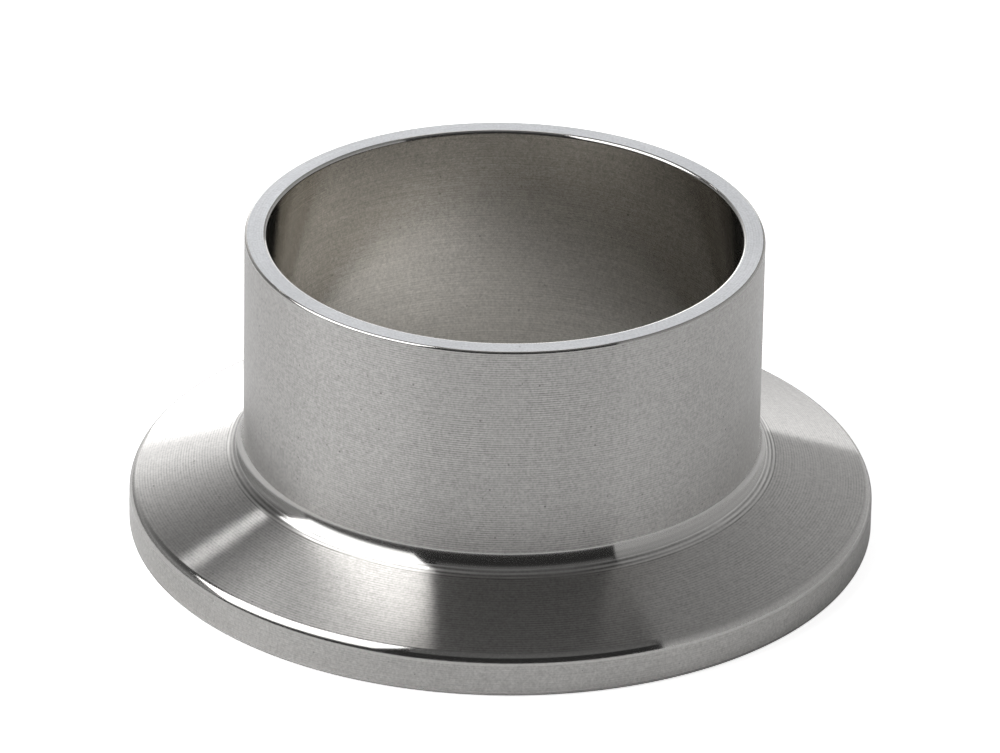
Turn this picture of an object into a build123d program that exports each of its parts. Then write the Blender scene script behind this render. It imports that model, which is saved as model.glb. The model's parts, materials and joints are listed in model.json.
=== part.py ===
from build123d import *

import os
from math import radians, sqrt, tan

# Weld ferrule for hygienic clamp joints, turned from one piece of stainless steel.
#
# The part stands on its sealing face. The origin is the centre of that face and +Z runs along
# the bore to the end that is welded to the tube. Lengths are in millimetres, angles in degrees.
#
#              wall
#             >|   |<
#        |     |___|  .......................  height
#        |     |   |
#       axis   |   |
#        |     |   |
#              |   |_
#        |     |     ''--..__                 neck fillet, then the clamp cone
#        |     |             ''--..__
#        |     |                     |  ....  rim_thickness, to the sharp corner
#        |     |______/  \___________|  ....  sealing face, Z = 0
#                      gasket
#                      groove

# ---- driving dimensions -------------------------------------------------------------------

# overall
height = 21.5  # sealing face to weld end
flange_diameter = 50.5  # outside of the flange, what the clamp closes on
tube_diameter = 35.0  # outside of the weld stub, same as the tube it is welded to
wall = 1.5  # wall of the weld stub

# clamp flange
cone_angle = 20.0  # slope of the clamp cone, from the sealing face
rim_thickness = 2.85  # sealing face to the sharp corner of rim and cone
rim_corner_radius = 0.75  # rounding of that corner, where the clamp slides on
rim_foot_break = 0.3  # chamfer between the rim and the sealing face
neck_fillet_radius = 1.8  # hollow rounding from the cone into the weld stub

# gasket groove in the sealing face, a round-bottomed ring
groove_inset = 3.5  # outside of the flange to the centre of the groove
groove_depth = 1.6
groove_radius = 2.35  # rounding of the groove's bottom
groove_lip_break = 0.15  # chamfer on the groove's two lips

# broken edges of the bore and the weld end
bore_edge_break = 0.15  # at the sealing face, kept small so the gasket bridges it
weld_edge_break_outside = 0.17
weld_edge_break_inside = 0.12

# ---- sizes that follow ----------------------------------------------------------------------

flange_radius = flange_diameter / 2
tube_radius = tube_diameter / 2
bore_radius = tube_radius - wall

# the cone rises from the rim's sharp corner to where it would meet the weld stub
neck_height = rim_thickness + (flange_radius - tube_radius) * tan(radians(cone_angle))

# the groove is a circle swept round the axis, its centre below the sealing face
groove_centre_radius = flange_radius - groove_inset
groove_centre_height = groove_depth - groove_radius
groove_half_width = sqrt(groove_radius**2 - groove_centre_height**2)
groove_inner_radius = groove_centre_radius - groove_half_width
groove_outer_radius = groove_centre_radius + groove_half_width

# the flat ring between bore and groove has a broken edge on each side, and a flat left over
inner_land = groove_inner_radius - bore_radius
inner_lip_break = min(groove_lip_break, inner_land / 3)
inner_bore_break = min(bore_edge_break, inner_land / 3)


def corner(section, radius, at_height):
    """The corner of a half section nearest to this radius and height."""
    return section.vertices().sort_by_distance((radius, at_height))[0]


# ---- ferrule ----------------------------------------------------------------------------------

with BuildPart() as ferrule:
    with BuildSketch(Plane.XZ) as half_section:
        # stock: weld stub, clamp cone and rim, from the bore outwards
        with BuildLine():
            Polyline(
                (bore_radius, 0),
                (flange_radius, 0),
                (flange_radius, rim_thickness),
                (tube_radius, neck_height),
                (tube_radius, height),
                (bore_radius, height),
                close=True,
            )
        make_face()

        # gasket groove with broken lips
        with Locations((groove_centre_radius, groove_centre_height)):
            Circle(groove_radius, mode=Mode.SUBTRACT)
        chamfer(corner(half_section, groove_inner_radius, 0), inner_lip_break)
        chamfer(corner(half_section, groove_outer_radius, 0), groove_lip_break)

        # roundings of the clamp cone
        fillet(corner(half_section, tube_radius, neck_height), neck_fillet_radius)
        fillet(corner(half_section, flange_radius, rim_thickness), rim_corner_radius)

        # broken edges
        chamfer(corner(half_section, flange_radius, 0), rim_foot_break)
        chamfer(corner(half_section, tube_radius, height), weld_edge_break_outside)
        chamfer(corner(half_section, bore_radius, height), weld_edge_break_inside)
        chamfer(corner(half_section, bore_radius, 0), inner_bore_break)
    revolve(axis=Axis.Z)

ferrule.part.label = "ferrule"

os.makedirs("parts", exist_ok=True)
export_step(ferrule.part, "parts/ferrule.step")
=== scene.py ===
import json
from math import atan2, cos, hypot, pi, radians, sin, tan

import bpy
from mathutils import Matrix, Vector


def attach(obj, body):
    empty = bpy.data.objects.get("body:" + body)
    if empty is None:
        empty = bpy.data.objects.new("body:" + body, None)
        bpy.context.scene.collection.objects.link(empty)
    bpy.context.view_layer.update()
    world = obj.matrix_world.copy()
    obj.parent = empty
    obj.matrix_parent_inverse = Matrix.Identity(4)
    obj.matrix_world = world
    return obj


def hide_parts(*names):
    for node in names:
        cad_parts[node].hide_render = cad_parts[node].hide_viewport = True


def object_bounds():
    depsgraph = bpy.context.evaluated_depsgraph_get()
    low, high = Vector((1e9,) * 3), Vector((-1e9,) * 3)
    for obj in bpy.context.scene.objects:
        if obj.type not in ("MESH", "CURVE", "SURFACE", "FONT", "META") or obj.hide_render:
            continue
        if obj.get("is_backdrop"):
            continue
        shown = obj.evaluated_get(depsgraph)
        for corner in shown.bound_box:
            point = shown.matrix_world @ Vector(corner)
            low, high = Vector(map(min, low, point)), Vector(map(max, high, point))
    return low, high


# Clamp ferrule, turned from stainless bar: one piece, standing on its sealing face.
# The turned body is one closed half section, swung round the axis by Geometry Nodes.
# Each stretch of the section was cut with its own tool and feed, so each has its own finish.

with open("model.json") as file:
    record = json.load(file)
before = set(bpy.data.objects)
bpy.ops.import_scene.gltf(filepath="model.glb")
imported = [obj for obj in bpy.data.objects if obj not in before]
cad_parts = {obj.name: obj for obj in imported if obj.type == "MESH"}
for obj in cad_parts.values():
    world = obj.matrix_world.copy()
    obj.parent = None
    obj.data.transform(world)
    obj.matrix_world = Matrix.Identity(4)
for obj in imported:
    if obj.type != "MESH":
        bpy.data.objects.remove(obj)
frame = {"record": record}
cad_low, cad_high = (Vector(corner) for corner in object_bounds())
record = frame["record"]
mounts = {mount["name"]: mount for mount in record["mounts"]}

MM = 0.001

# ---- sizes taken from the frame ---------------------------------------------------------------

flange_radius = (cad_high.x - cad_low.x) / 2
height = cad_high.z - cad_low.z
bore_radius = mounts["flow_bore"]["dims"]["r_mm"] * MM
stub_radius = mounts["weld_stub"]["dims"]["r_mm"] * MM
rim_thickness = mounts["clamp_cone"]["pos_m"][2]  # to the sharp corner of rim and cone

# ---- sizes of the roundings and the hidden groove ---------------------------------------------

cone_slope = radians(20)
neck_radius = 1.8 * MM  # hollow rounding between cone and stub
neck_crease = radians(12)  # the tool's hollow meets the stub at this slight angle
neck_ring_tilt = radians(47)  # from this tilt down to the cone, the neck shows ringed steps
corner_radius = 0.75 * MM  # rim to cone
foot_radius = 0.35 * MM  # rim to sealing face
weld_edge_outside = 0.17 * MM
weld_edge_inside = 0.22 * MM
bore_edge = 0.15 * MM
groove_centre = flange_radius - 3.5 * MM
groove_depth = 1.6 * MM
groove_radius = 2.35 * MM
groove_lip = 0.15 * MM


# ---- the half section -------------------------------------------------------------------------

class HalfSection:
    """Points (radius, height) of the section, in order, and the finish of each stretch."""

    def __init__(self):
        self.points = []

    def to(self, r, z):
        self.points.append((r, z))

    def straight(self, r0, z0, r1, z1, guard=0.03 * MM):
        """A straight stretch, with a point close to each end so that shading stays flat."""
        longest = 1.2 * MM
        length = hypot(r1 - r0, z1 - z0)
        ur, uz = (r1 - r0) / length, (z1 - z0) / length
        steps = max(1, round(length / longest))
        self.to(r0, z0)
        self.to(r0 + ur * guard, z0 + uz * guard)
        for i in range(1, steps):
            self.to(r0 + ur * length * i / steps, z0 + uz * length * i / steps)
        self.to(r1 - ur * guard, z1 - uz * guard)
        self.to(r1, z1)

    def arc(self, r, z, radius, start, end, step=radians(6)):
        """The inside points of an arc about (r, z), from one angle to another."""
        steps = max(3, round(abs(end - start) / step))
        for i in range(1, steps):
            a = start + (end - start) * i / steps
            self.to(r + radius * cos(a), z + radius * sin(a))


def neck_hollow():
    """Centre (radius, height) of the neck's hollow, and the height where it meets the stub."""
    r = stub_radius + neck_radius * cos(neck_crease)
    z = rim_thickness + (flange_radius - r) * tan(cone_slope) + neck_radius / cos(cone_slope)
    return r, z, z - neck_radius * sin(neck_crease)


def ferrule_section():
    """Half section of the ferrule, from the bore's foot outwards and round to the bore again."""
    s = HalfSection()
    lip_height = groove_depth - groove_radius  # the groove's centre lies below the face
    half_width = (groove_radius**2 - lip_height**2) ** 0.5
    groove_in = groove_centre - half_width
    groove_out = groove_centre + half_width
    lip_angle = atan2(groove_lip - lip_height, half_width)
    cone_normal = pi / 2 - cone_slope

    # sealing face, the ring inside the groove
    s.straight(bore_radius + bore_edge, 0, groove_in - groove_lip, 0)
    # groove
    s.arc(groove_centre, lip_height, groove_radius, pi - lip_angle, lip_angle)
    # sealing face, the ring outside the groove
    s.straight(groove_out + groove_lip, 0, flange_radius - foot_radius, 0)
    s.arc(flange_radius - foot_radius, foot_radius, foot_radius, -pi / 2, 0, radians(12))
    # rim
    corner_height = rim_thickness - corner_radius * tan(cone_normal / 2)
    s.straight(flange_radius, foot_radius, flange_radius, corner_height)
    s.arc(flange_radius - corner_radius, corner_height, corner_radius, 0, cone_normal, radians(7))
    # clamp cone
    cone_foot_r = flange_radius - corner_radius * (1 - cos(cone_normal))
    cone_foot_z = corner_height + corner_radius * sin(cone_normal)
    hollow_r, hollow_z, neck_top = neck_hollow()
    cone_top_r = hollow_r - neck_radius * sin(cone_slope)
    cone_top_z = hollow_z - neck_radius * cos(cone_slope)
    s.straight(cone_foot_r, cone_foot_z, cone_top_r, cone_top_z)
    # neck
    s.arc(hollow_r, hollow_z, neck_radius, pi + cone_normal, pi + neck_crease, radians(3))
    # stub
    s.straight(stub_radius, neck_top, stub_radius, height - weld_edge_outside)
    s.arc(
        stub_radius - weld_edge_outside, height - weld_edge_outside, weld_edge_outside,
        0, pi / 2, radians(15),
    )
    # weld end
    s.straight(
        stub_radius - weld_edge_outside, height, bore_radius + weld_edge_inside, height
    )
    s.arc(
        bore_radius + weld_edge_inside, height - weld_edge_inside, weld_edge_inside,
        pi / 2, pi, radians(18),
    )
    # bore
    s.straight(bore_radius, height - weld_edge_inside, bore_radius, bore_edge)
    return s.points


def in_scene(name, data):
    """A new object with this data, in the scene."""
    obj = bpy.data.objects.new(name, data)
    bpy.context.collection.objects.link(obj)
    return obj


def section_object(points, rail):
    """The closed half section as edges, X measured out from the rail circle and Y downwards."""
    mesh = bpy.data.meshes.new("half_section")
    mesh.from_pydata(
        [(r - rail, -z, 0) for r, z in reversed(points)],
        [(i, (i + 1) % len(points)) for i in range(len(points))],
        [],
    )
    return in_scene("half_section", mesh)


def lathe_tree():
    """Swings the incoming half section round the Z axis, as a lathe does."""
    tree = bpy.data.node_groups.new("lathe", "GeometryNodeTree")
    face = tree.interface
    face.new_socket("Section", in_out="INPUT", socket_type="NodeSocketGeometry")
    rail = face.new_socket("Rail Radius", in_out="INPUT", socket_type="NodeSocketFloat")
    facets = face.new_socket("Facets", in_out="INPUT", socket_type="NodeSocketInt")
    finish = face.new_socket("Finish", in_out="INPUT", socket_type="NodeSocketMaterial")
    face.new_socket("Turned", in_out="OUTPUT", socket_type="NodeSocketGeometry")
    add, join = tree.nodes.new, tree.links.new

    entry = add("NodeGroupInput")
    outline = add("GeometryNodeMeshToCurve")
    circle = add("GeometryNodeCurvePrimitiveCircle")
    sweep = add("GeometryNodeCurveToMesh")
    smooth = add("GeometryNodeSetShadeSmooth")
    real = add("GeometryNodeRealizeInstances")
    paint = add("GeometryNodeSetMaterial")
    leave = add("NodeGroupOutput")

    join(entry.outputs["Section"], outline.inputs["Mesh"])
    join(entry.outputs["Facets"], circle.inputs["Resolution"])
    join(entry.outputs["Rail Radius"], circle.inputs["Radius"])
    join(circle.outputs["Curve"], sweep.inputs["Curve"])
    join(outline.outputs["Curve"], sweep.inputs["Profile Curve"])
    join(sweep.outputs["Mesh"], smooth.inputs["Geometry"])
    join(smooth.outputs["Geometry"], real.inputs["Geometry"])
    join(real.outputs["Geometry"], paint.inputs["Geometry"])
    join(entry.outputs["Finish"], paint.inputs["Material"])
    join(paint.outputs["Geometry"], leave.inputs["Turned"])
    return tree, {"rail": rail.identifier, "facets": facets.identifier, "finish": finish.identifier}


def turn(points, finish, facets=400):
    """A closed turned solid from its half section."""
    rail = (bore_radius + flange_radius) / 2
    blank = section_object(points, rail)
    tree, inputs = lathe_tree()
    lathe = blank.modifiers.new("lathe", "NODES")
    lathe.node_group = tree
    lathe[inputs["rail"]] = rail
    lathe[inputs["facets"]] = facets
    lathe[inputs["finish"]] = finish
    graph = bpy.context.evaluated_depsgraph_get()
    mesh = bpy.data.meshes.new_from_object(blank.evaluated_get(graph))
    bpy.data.objects.remove(blank)
    return in_scene("turned_body", mesh)


# ---- finishes ---------------------------------------------------------------------------------

quarter_turn = 0.25
soft_roughness = 0.28  # of the softer shine that lies over the sharp one
along_lines = 0.12  # noise cells per mm round the axis, for the uneven tool lines
across_lines = 1.3  # noise cells per feed, across them
patch_size = 0.25  # cells per mm of the patches in which the feed lines show more or less
patch_range = (-0.4, 2.4)
ruled_floor = 0.25  # share of the feed lines that is left far from the middle
grain_cells = 6.0  # per mm
mottle_cells = 2.2
mottle_share = 0.35  # of the grain's effect on the tone
cloud_cells = 0.16
cloud_range = (-0.03, 0.03)
pit_cells = 1.1
pit_size = 0.08
pit_range = (0.1, 0.5)  # how dark the pin-holes are


class Nodes:
    """A small helper that keeps a material's node tree readable."""

    def __init__(self, tree):
        self.tree = tree

    def add(self, kind, **settings):
        node = self.tree.nodes.new(kind)
        for key, value in settings.items():
            setattr(node, key, value)
        return node

    def feed(self, socket, value):
        """Sets a socket to a number or colour, or joins another socket to it."""
        if isinstance(value, bpy.types.NodeSocket):
            self.tree.links.new(value, socket)
        else:
            socket.default_value = value

    def math(self, operation, first, second=0.0, third=0.0):
        node = self.add("ShaderNodeMath", operation=operation)
        for socket, value in zip(node.inputs, (first, second, third)):
            self.feed(socket, value)
        return node.outputs[0]

    def vector(self, x, y, z):
        node = self.add("ShaderNodeCombineXYZ")
        for socket, value in zip(node.inputs, (x, y, z)):
            self.feed(socket, value)
        return node.outputs[0]

    def noise(self, vector, detail=2.0, roughness=0.5):
        node = self.add("ShaderNodeTexNoise")
        self.feed(node.inputs["Vector"], vector)
        node.inputs["Scale"].default_value = 1.0
        node.inputs["Detail"].default_value = detail
        node.inputs["Roughness"].default_value = roughness
        return node.outputs[0]

    def spread(self, value, low, high):
        """A 0 to 1 value stretched from low to high."""
        return self.math("MULTIPLY_ADD", value, high - low, low)

    def within(self, value, low, high):
        """The value, held between low and high."""
        return self.math("MINIMUM", self.math("MAXIMUM", value, low), high)

    def excess(self, value, limit):
        """How far the first value lies above the second, and 0 below it."""
        return self.math("MAXIMUM", self.math("SUBTRACT", value, limit), 0.0)

    def falloff(self, value, rate):
        """1 at a value of 0, falling towards 0 as the value grows."""
        return self.math("EXPONENT", self.math("MULTIPLY", value, -rate))

    def output(self, kind, shader):
        """Feeds the shader to the tree's output."""
        self.feed(self.add(kind).inputs["Surface"], shader)


def node_material(name):
    """A new material with an empty node tree, and the helper that fills it."""
    material = bpy.data.materials.new(name)
    material.use_nodes = True
    material.node_tree.nodes.clear()
    return material, Nodes(material.node_tree)


def brushed_metal(n, colour, normal, tangent, roughness, streak):
    """Bare metal whose reflections are streaked square to its tool lines."""
    metal = n.add("ShaderNodeBsdfPrincipled")
    metal.inputs["Metallic"].default_value = 1.0
    metal.inputs["Roughness"].default_value = roughness
    metal.inputs["Anisotropic"].default_value = streak
    metal.inputs["Anisotropic Rotation"].default_value = quarter_turn
    n.feed(metal.inputs["Base Color"], colour)
    n.feed(metal.inputs["Normal"], normal)
    n.feed(metal.inputs["Tangent"], tangent)
    return metal.outputs[0]


def turned_steel(name, across, feed_mm, tone, roughness, streak, rings_mm, grain_mm,
                 lined, ruled, mottled, pits, haze=0.28, ruled_within_mm=100.0,
                 coarse_from_mm=100.0, coarser=1.0):
    """Turned stainless steel. Tool lines run round the axis, and across says whether they follow
    each other along the height or the radius, feed_mm apart.
    rings_mm and grain_mm are the heights of the tool rings and of the fine grain between them.
    ruled, lined and mottled say how far the even feed lines, the uneven tool lines and the grain
    change the tone, and pits is the share of pin-holes. haze is the share of the softer shine.
    The feed lines fade out about ruled_within_mm to either side of the part's middle.
    From coarse_from_mm of height or radius on, the rings are coarser times as high."""
    material, n = node_material(name)

    # place on the part, in millimetres
    where = n.add("ShaderNodeTexCoord").outputs["Object"]
    split = n.add("ShaderNodeSeparateXYZ")
    n.feed(split.inputs[0], where)
    x, y, z = (n.math("MULTIPLY", socket, 1 / MM) for socket in split.outputs)
    radius = n.math("SQRT", n.math("ADD", n.math("MULTIPLY", x, x), n.math("MULTIPLY", y, y)))
    travel = z if across == "height" else radius

    def even_noise(per_mm):
        return n.noise(n.vector(*(n.math("MULTIPLY", axis, per_mm) for axis in (x, y, z))))

    # tool lines: long round the axis, fine across it
    uneven = n.noise(
        n.vector(
            n.math("MULTIPLY", x, along_lines), n.math("MULTIPLY", y, along_lines),
            n.math("MULTIPLY", travel, across_lines / feed_mm),
        ),
        detail=3.0, roughness=0.6,
    )
    patches = n.spread(even_noise(patch_size), *patch_range)
    off_middle = n.math("DIVIDE", n.math("ABSOLUTE", x), ruled_within_mm)
    fade = n.within(n.math("SUBTRACT", 1.0 + ruled_floor, off_middle), ruled_floor, 1.0)
    beat = n.math("SINE", n.math("MULTIPLY", travel, 2 * pi / feed_mm))
    feed_lines = n.math("MULTIPLY", beat, n.math("MULTIPLY", patches, fade))

    # grain: even in every direction
    grain = even_noise(grain_cells)
    mottle = even_noise(mottle_cells)
    cloud = even_noise(cloud_cells)

    # pin-holes: few, small and dark
    cells = n.add("ShaderNodeTexVoronoi", feature="F1")
    n.feed(cells.inputs["Vector"], n.vector(x, y, z))
    cells.inputs["Scale"].default_value = pit_cells
    spot = n.math("LESS_THAN", cells.outputs["Distance"], pit_size)
    chosen = n.add("ShaderNodeSeparateColor")
    n.feed(chosen.inputs[0], cells.outputs["Color"])
    pit = n.math("MULTIPLY", spot, n.math("LESS_THAN", chosen.outputs[0], pits))
    depth = n.math("MULTIPLY", pit, n.spread(chosen.outputs[1], *pit_range))

    # tone
    shade = n.math("MULTIPLY_ADD", feed_lines, ruled, n.spread(uneven, 1.0 - lined, 1.0 + lined))
    shade = n.math("ADD", shade, n.spread(grain, -mottled, mottled))
    shade = n.math("ADD", shade, n.spread(mottle, -mottle_share * mottled, mottle_share * mottled))
    shade = n.math("ADD", shade, n.spread(cloud, *cloud_range))
    shade = n.math("MULTIPLY", shade, n.math("SUBTRACT", 1.0, depth))
    colour = n.add("ShaderNodeCombineColor")
    for socket, part in zip(colour.inputs, tone):
        n.feed(socket, n.math("MULTIPLY", shade, part))

    # relief of the rings and the grain
    bump = n.add("ShaderNodeBump")
    bump.inputs["Strength"].default_value = 1.0
    bump.inputs["Distance"].default_value = MM
    past = n.within(n.math("SUBTRACT", travel, coarse_from_mm), 0.0, 1.0)
    ring_height = n.spread(past, rings_mm, rings_mm * coarser)
    relief = n.math("MULTIPLY_ADD", uneven, ring_height, n.math("MULTIPLY", grain, grain_mm))
    n.feed(bump.inputs["Height"], relief)

    round_axis = n.add("ShaderNodeTangent", direction_type="RADIAL", axis="Z").outputs[0]
    surface = (n, colour.outputs[0], bump.outputs[0], round_axis)
    shine = brushed_metal(*surface, roughness, streak)
    if haze > 0:
        soft = brushed_metal(*surface, soft_roughness, 1.0)
        both = n.add("ShaderNodeMixShader")
        n.feed(both.inputs[0], haze)
        n.feed(both.inputs[1], shine)
        n.feed(both.inputs[2], soft)
        shine = both.outputs[0]
    n.output("ShaderNodeOutputMaterial", shine)
    return material


steel_tone = (0.60, 0.59, 0.575)
bore_tone = (0.64, 0.618, 0.580)
# painted light: the upward weld end face gets a lighter, cooler copy of the steel tone for the
# light it catches
face_painted_light_tone = (0.70, 0.712, 0.735)

finishes = {
    "stub": turned_steel(
        "turned_stub", "height", 0.165, steel_tone, roughness=0.26, streak=0.9,
        rings_mm=0.0025, grain_mm=0.0006, lined=0.10, ruled=0.18, mottled=0.40, pits=0.9,
        ruled_within_mm=13.0,
    ),
    "bore": turned_steel(
        "bored_inside", "height", 0.18, bore_tone, roughness=0.145, streak=0.8,
        rings_mm=0.0006, grain_mm=0.0004, lined=0.18, ruled=0.05, mottled=0.36, pits=0.3, haze=0.0,
    ),
    "cone": turned_steel(
        "turned_cone", "radius", 0.185, steel_tone, roughness=0.15, streak=1.0,
        rings_mm=0.0028, grain_mm=0.0008, lined=0.12, ruled=0.10, mottled=0.34, pits=0.3,
        coarse_from_mm=21.3, coarser=2.5,
    ),
    "neck": turned_steel(
        "formed_neck", "radius", 0.20, steel_tone, roughness=0.12, streak=1.0,
        rings_mm=0.0005, grain_mm=0.0, lined=0.06, ruled=0.04, mottled=0.04, pits=0.0, haze=0.0,
    ),
    "rings": turned_steel(
        "ringed_neck_foot", "radius", 0.26, steel_tone, roughness=0.13, streak=1.0,
        rings_mm=0.0130, grain_mm=0.0003, lined=0.50, ruled=0.35, mottled=0.20, pits=0.0,
    ),
    "rim": turned_steel(
        "turned_rim", "height", 0.165, steel_tone, roughness=0.32, streak=0.8,
        rings_mm=0.0010, grain_mm=0.0005, lined=0.12, ruled=0.04, mottled=0.34, pits=0.7,
    ),
    "edge": turned_steel(
        "broken_edges", "height", 0.15, steel_tone, roughness=0.12, streak=0.9,
        rings_mm=0.0002, grain_mm=0.0002, lined=0.10, ruled=0.0, mottled=0.16, pits=0.0, haze=0.0,
    ),
    # the weld end face carries painted light in its lighter, cooler tone
    "face": turned_steel(
        "faced_weld_end", "radius", 0.18, face_painted_light_tone, roughness=0.34, streak=0.4,
        rings_mm=0.0004, grain_mm=0.0004, lined=0.10, ruled=0.03, mottled=0.24, pits=0.3,
    ),
    "seal": turned_steel(
        "sealing_face", "radius", 0.12, steel_tone, roughness=0.26, streak=0.8,
        rings_mm=0.0003, grain_mm=0.0003, lined=0.10, ruled=0.05, mottled=0.16, pits=0.0,
    ),
}


def stretch_of(r, z):
    """Which stretch of the section a face at this radius and height belongs to."""
    hair = 0.001 * MM
    hollow_r, hollow_z, neck_top = neck_hollow()
    cone_z = rim_thickness + (flange_radius - r) * tan(cone_slope)
    if z > height - hair:
        return "face"
    if r < bore_radius + hair:
        return "bore"
    if z > height - max(weld_edge_outside, weld_edge_inside):
        return "edge"
    if r < stub_radius + hair and z > neck_top:
        return "stub"
    if r > flange_radius - hair:
        return "rim"
    if z > rim_thickness and hypot(r - hollow_r, z - hollow_z) < neck_radius + hair:
        return "rings" if atan2(hollow_z - z, hollow_r - r) > neck_ring_tilt else "neck"
    if abs(z - cone_z) < hair and z > rim_thickness:
        return "cone"
    if z > foot_radius and r > flange_radius - corner_radius:
        return "edge"
    return "seal"


def dress(solid):
    """Gives each face of the turned body the finish of its stretch."""
    order = list(finishes)
    mesh = solid.data
    mesh.materials.clear()
    for name in order:
        mesh.materials.append(finishes[name])
    for face in mesh.polygons:
        corners = [mesh.vertices[i].co for i in face.vertices]
        r = sum(hypot(c.x, c.y) for c in corners) / len(corners)
        z = face.center.z
        face.material_index = order.index(stretch_of(r, z))
        face.use_smooth = True


# ---- the ferrule ------------------------------------------------------------------------------

ferrule = turn(ferrule_section(), finishes["stub"])
dress(ferrule)
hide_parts("ferrule")
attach(ferrule, "root")


# ---- studio -----------------------------------------------------------------------------------

def card(name, corners, albedo, seen_glow):
    """A flat studio surface that reflects lamps as paper does. To the lens it also glows."""
    mesh = bpy.data.meshes.new(name)
    mesh.from_pydata(corners, [], [(0, 1, 2, 3)])
    material, n = node_material(name)
    paper = n.add("ShaderNodeBsdfDiffuse")
    paper.inputs["Color"].default_value = (albedo, albedo, albedo, 1)
    light = n.add("ShaderNodeEmission")
    seen = n.add("ShaderNodeLightPath").outputs["Is Camera Ray"]
    n.feed(light.inputs["Strength"], n.math("MULTIPLY", seen, seen_glow))
    both = n.add("ShaderNodeAddShader")
    n.feed(both.inputs[0], paper.outputs[0])
    n.feed(both.inputs[1], light.outputs[0])
    n.output("ShaderNodeOutputMaterial", both.outputs[0])
    mesh.materials.append(material)
    obj = in_scene(name, mesh)
    obj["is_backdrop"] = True


def mirrored(bearing, tilt):
    """Where the lens sees when it looks at a surface whose normal has this bearing from the lens
    and this tilt from level: the direction of the reflected sight line."""
    sight = Vector((0, cos(lens_pitch), -sin(lens_pitch)))
    normal = Vector((cos(tilt) * sin(bearing), -cos(tilt) * cos(bearing), sin(tilt)))
    return sight - 2 * sight.dot(normal) * normal


def panel(name, corners, radiances, distance, steps=12):
    """A curved studio lamp that fills part of the part's reflections. corners gives (bearing, tilt)
    in degrees at the first bearing, low and high, and at the last bearing, low and high.
    radiances gives the lamp's strength at the same four corners, blended between them."""
    def blend(values, share, rise):
        first = values[0] + (values[1] - values[0]) * rise
        last = values[2] + (values[3] - values[2]) * rise
        return first + (last - first) * share

    bearings, tilts = ([radians(corner[i]) for corner in corners] for i in (0, 1))
    points, strengths, faces = [], [], []
    for i in range(steps + 1):
        for k in range(steps + 1):
            share, rise = i / steps, k / steps
            direction = mirrored(blend(bearings, share, rise), blend(tilts, share, rise))
            points.append(direction * distance)
            strengths.append(blend(radiances, share, rise))
    row = steps + 1
    for i in range(steps):
        for k in range(steps):
            a = i * row + k
            faces.append((a, a + 1, a + row + 1, a + row))
    mesh = bpy.data.meshes.new(name)
    mesh.from_pydata(points, [], faces)
    mesh.attributes.new("lamp_strength", "FLOAT", "POINT").data.foreach_set("value", strengths)
    material, n = node_material(name)
    light = n.add("ShaderNodeEmission")
    strength = n.add("ShaderNodeAttribute", attribute_name="lamp_strength")
    n.feed(light.inputs["Strength"], strength.outputs["Fac"])
    n.output("ShaderNodeOutputMaterial", light.outputs[0])
    mesh.materials.append(material)
    obj = in_scene(name, mesh)
    obj.visible_camera = False
    obj.visible_shadow = False
    obj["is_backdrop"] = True


lens_pitch = radians(27.133)

floor_half = 0.6
card(
    "floor",
    [(-floor_half, -floor_half, 0), (floor_half, -floor_half, 0),
     (floor_half, floor_half, 0), (-floor_half, floor_half, 0)],
    albedo=0.92, seen_glow=0.8,
)

panel(
    "key_left", ((-45.5, 27.5), (-54, 54), (-18.8, 29.5), (-14.7, 54)),
    (2.2, 4.6, 1.9, 3.0), 0.6,
)
panel(
    "key_left_top", ((-51, 54.1), (-44, 62), (-14.7, 54.1), (-14, 62)),
    (3.6, 1.8, 3.0, 2.8), 0.6,
)
panel(
    "wall_right_low", ((25.6, 8), (25.6, 52), (97, 8), (97, 52)),
    (0.54, 0.24, 0.38, 0.60), 0.9,
)
panel(
    "wall_right_high", ((25.6, 52.2), (25.6, 75), (97, 52.2), (97, 85)),
    (0.24, 0.24, 0.60, 0.24), 0.9,
)
panel("ceiling", ((-13.5, 40), (-13.5, 70), (25, 40), (25, 70)), (0.16, 0.11, 0.16, 0.11), 1.2)
panel(
    "ceiling_behind", ((-13.5, 72), (-13.5, 84), (25, 72), (25, 84)),
    (1.1, 1.1, 1.1, 1.1), 1.2,
)
panel(
    "lamp_back_left", ((-60.6, 69), (-60.6, 71), (-57.1, 69), (-57.1, 71)),
    (7.0, 7.0, 7.0, 7.0), 0.9, steps=3,
)


# the room's light by direction: x to the right, y away from the lens, z up
room_level = 0.04
wash_level = 1.88  # the backdrop where it is brightest
wash_height = 0.29  # z where it is brightest
wash_fade_up = 5.2
wash_fade_down = 12.0
wash_low_share = 0.6  # what is left of it far below that height
wash_half_width = 0.39  # x / y up to which it is full
wash_fade_sideways = 7.0
wash_side_share = 0.22  # what is left of it far to the side
wash_foot = -0.2  # z where it ends
sheet_level = 2.6  # the brighter sheet, low on the backdrop's left half
sheet_top = 0.30
sheet_half_width = 0.305


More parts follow.
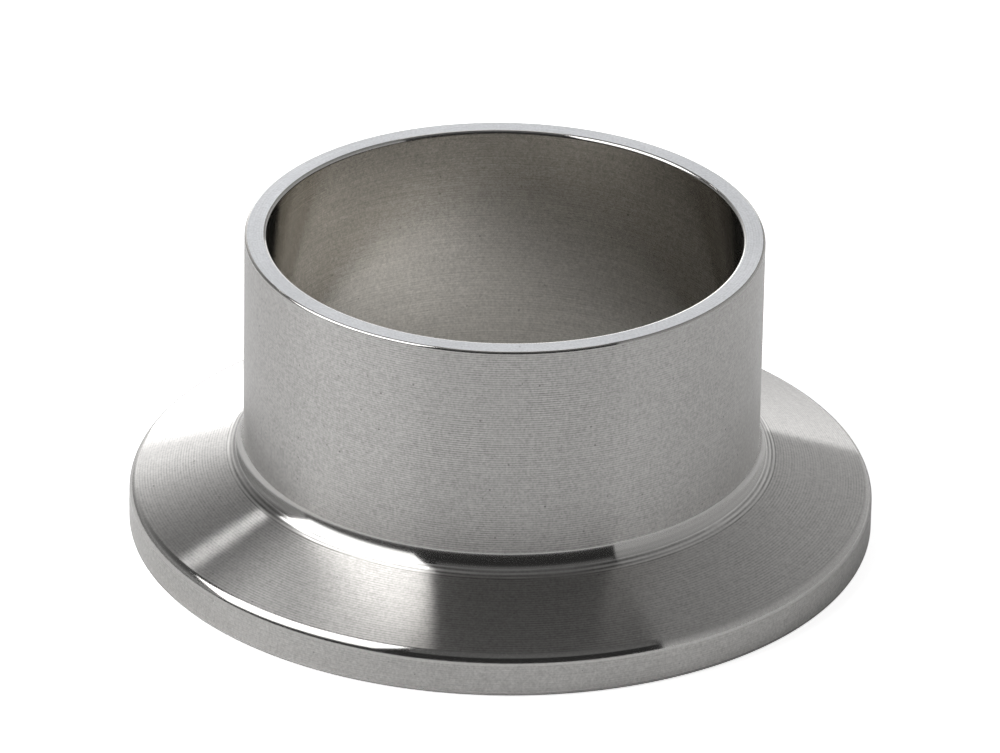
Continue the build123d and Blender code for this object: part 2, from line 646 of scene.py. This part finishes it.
def lit_room():
    """Dark room with a white backdrop behind the part, brightest near the table."""
    world = bpy.data.worlds.new("room")
    world.use_nodes = True
    world.node_tree.nodes.clear()
    n = Nodes(world.node_tree)
    split = n.add("ShaderNodeSeparateXYZ")
    n.feed(split.inputs[0], n.add("ShaderNodeTexCoord").outputs["Generated"])
    x, y, z = split.outputs

    upward = n.falloff(n.excess(z, wash_height), wash_fade_up)
    downward = n.falloff(n.excess(wash_height, z), wash_fade_down)
    by_height = n.math("MULTIPLY", upward, n.spread(downward, wash_low_share, 1.0))
    off_side = n.math("ABSOLUTE", n.math("DIVIDE", x, n.math("MAXIMUM", y, 0.001)))
    beside = n.falloff(n.excess(off_side, wash_half_width), wash_fade_sideways)
    by_side = n.spread(beside, wash_side_share, 1.0)
    wash = n.math("MULTIPLY", n.math("MULTIPLY", by_height, by_side), wash_level)

    low = n.math("LESS_THAN", z, sheet_top)
    near_middle = n.math("LESS_THAN", off_side, sheet_half_width)
    leftward = n.within(n.math("MULTIPLY_ADD", x, -5.0, 0.5), 0.0, 1.0)
    sheet = n.math("MULTIPLY", n.math("MULTIPLY", low, near_middle), leftward)

    behind = n.math("GREATER_THAN", y, 0.0)
    above = n.math("GREATER_THAN", z, wash_foot)
    backdrop = n.math("MULTIPLY_ADD", sheet, sheet_level, wash)
    backdrop = n.math("MULTIPLY", backdrop, n.math("MULTIPLY", behind, above))
    glow = n.math("ADD", backdrop, room_level)

    seen = n.add("ShaderNodeLightPath").outputs["Is Camera Ray"]
    strength = n.math("ADD", seen, n.math("MULTIPLY", n.math("SUBTRACT", 1.0, seen), glow))
    air = n.add("ShaderNodeBackground")
    n.feed(air.inputs["Strength"], strength)
    n.output("ShaderNodeOutputWorld", air.outputs[0])
    return world


bpy.context.scene.world = lit_room()


# ---- camera -----------------------------------------------------------------------------------

def studio_camera(pitch, roll, distance, sight_height, focal_length):
    """A long lens in front of the part, looking down along +Y by pitch and tilted by roll.
    Its line of sight passes sight_height above the origin, measured square to the line."""
    back = Vector((0, -cos(pitch), sin(pitch)))
    side = Vector((1, 0, 0))
    over = Vector((0, sin(pitch), cos(pitch)))
    right = side * cos(roll) + over * sin(roll)
    up = over * cos(roll) - side * sin(roll)
    place = back * distance + up * sight_height
    data = bpy.data.cameras.new("camera")
    data.sensor_width = 36.0
    data.lens = focal_length
    data.clip_start, data.clip_end = 0.01, 50.0
    camera = in_scene("camera", data)
    turn_to = Matrix((right, up, back)).transposed().to_4x4()
    camera.matrix_world = Matrix.Translation(place) @ turn_to
    return camera


bpy.context.scene.camera = studio_camera(
    pitch=lens_pitch, roll=radians(1.021), distance=0.6408, sight_height=9.585 * MM,
    focal_length=338.47,
)
bpy.context.scene.view_settings.view_transform = "Standard"
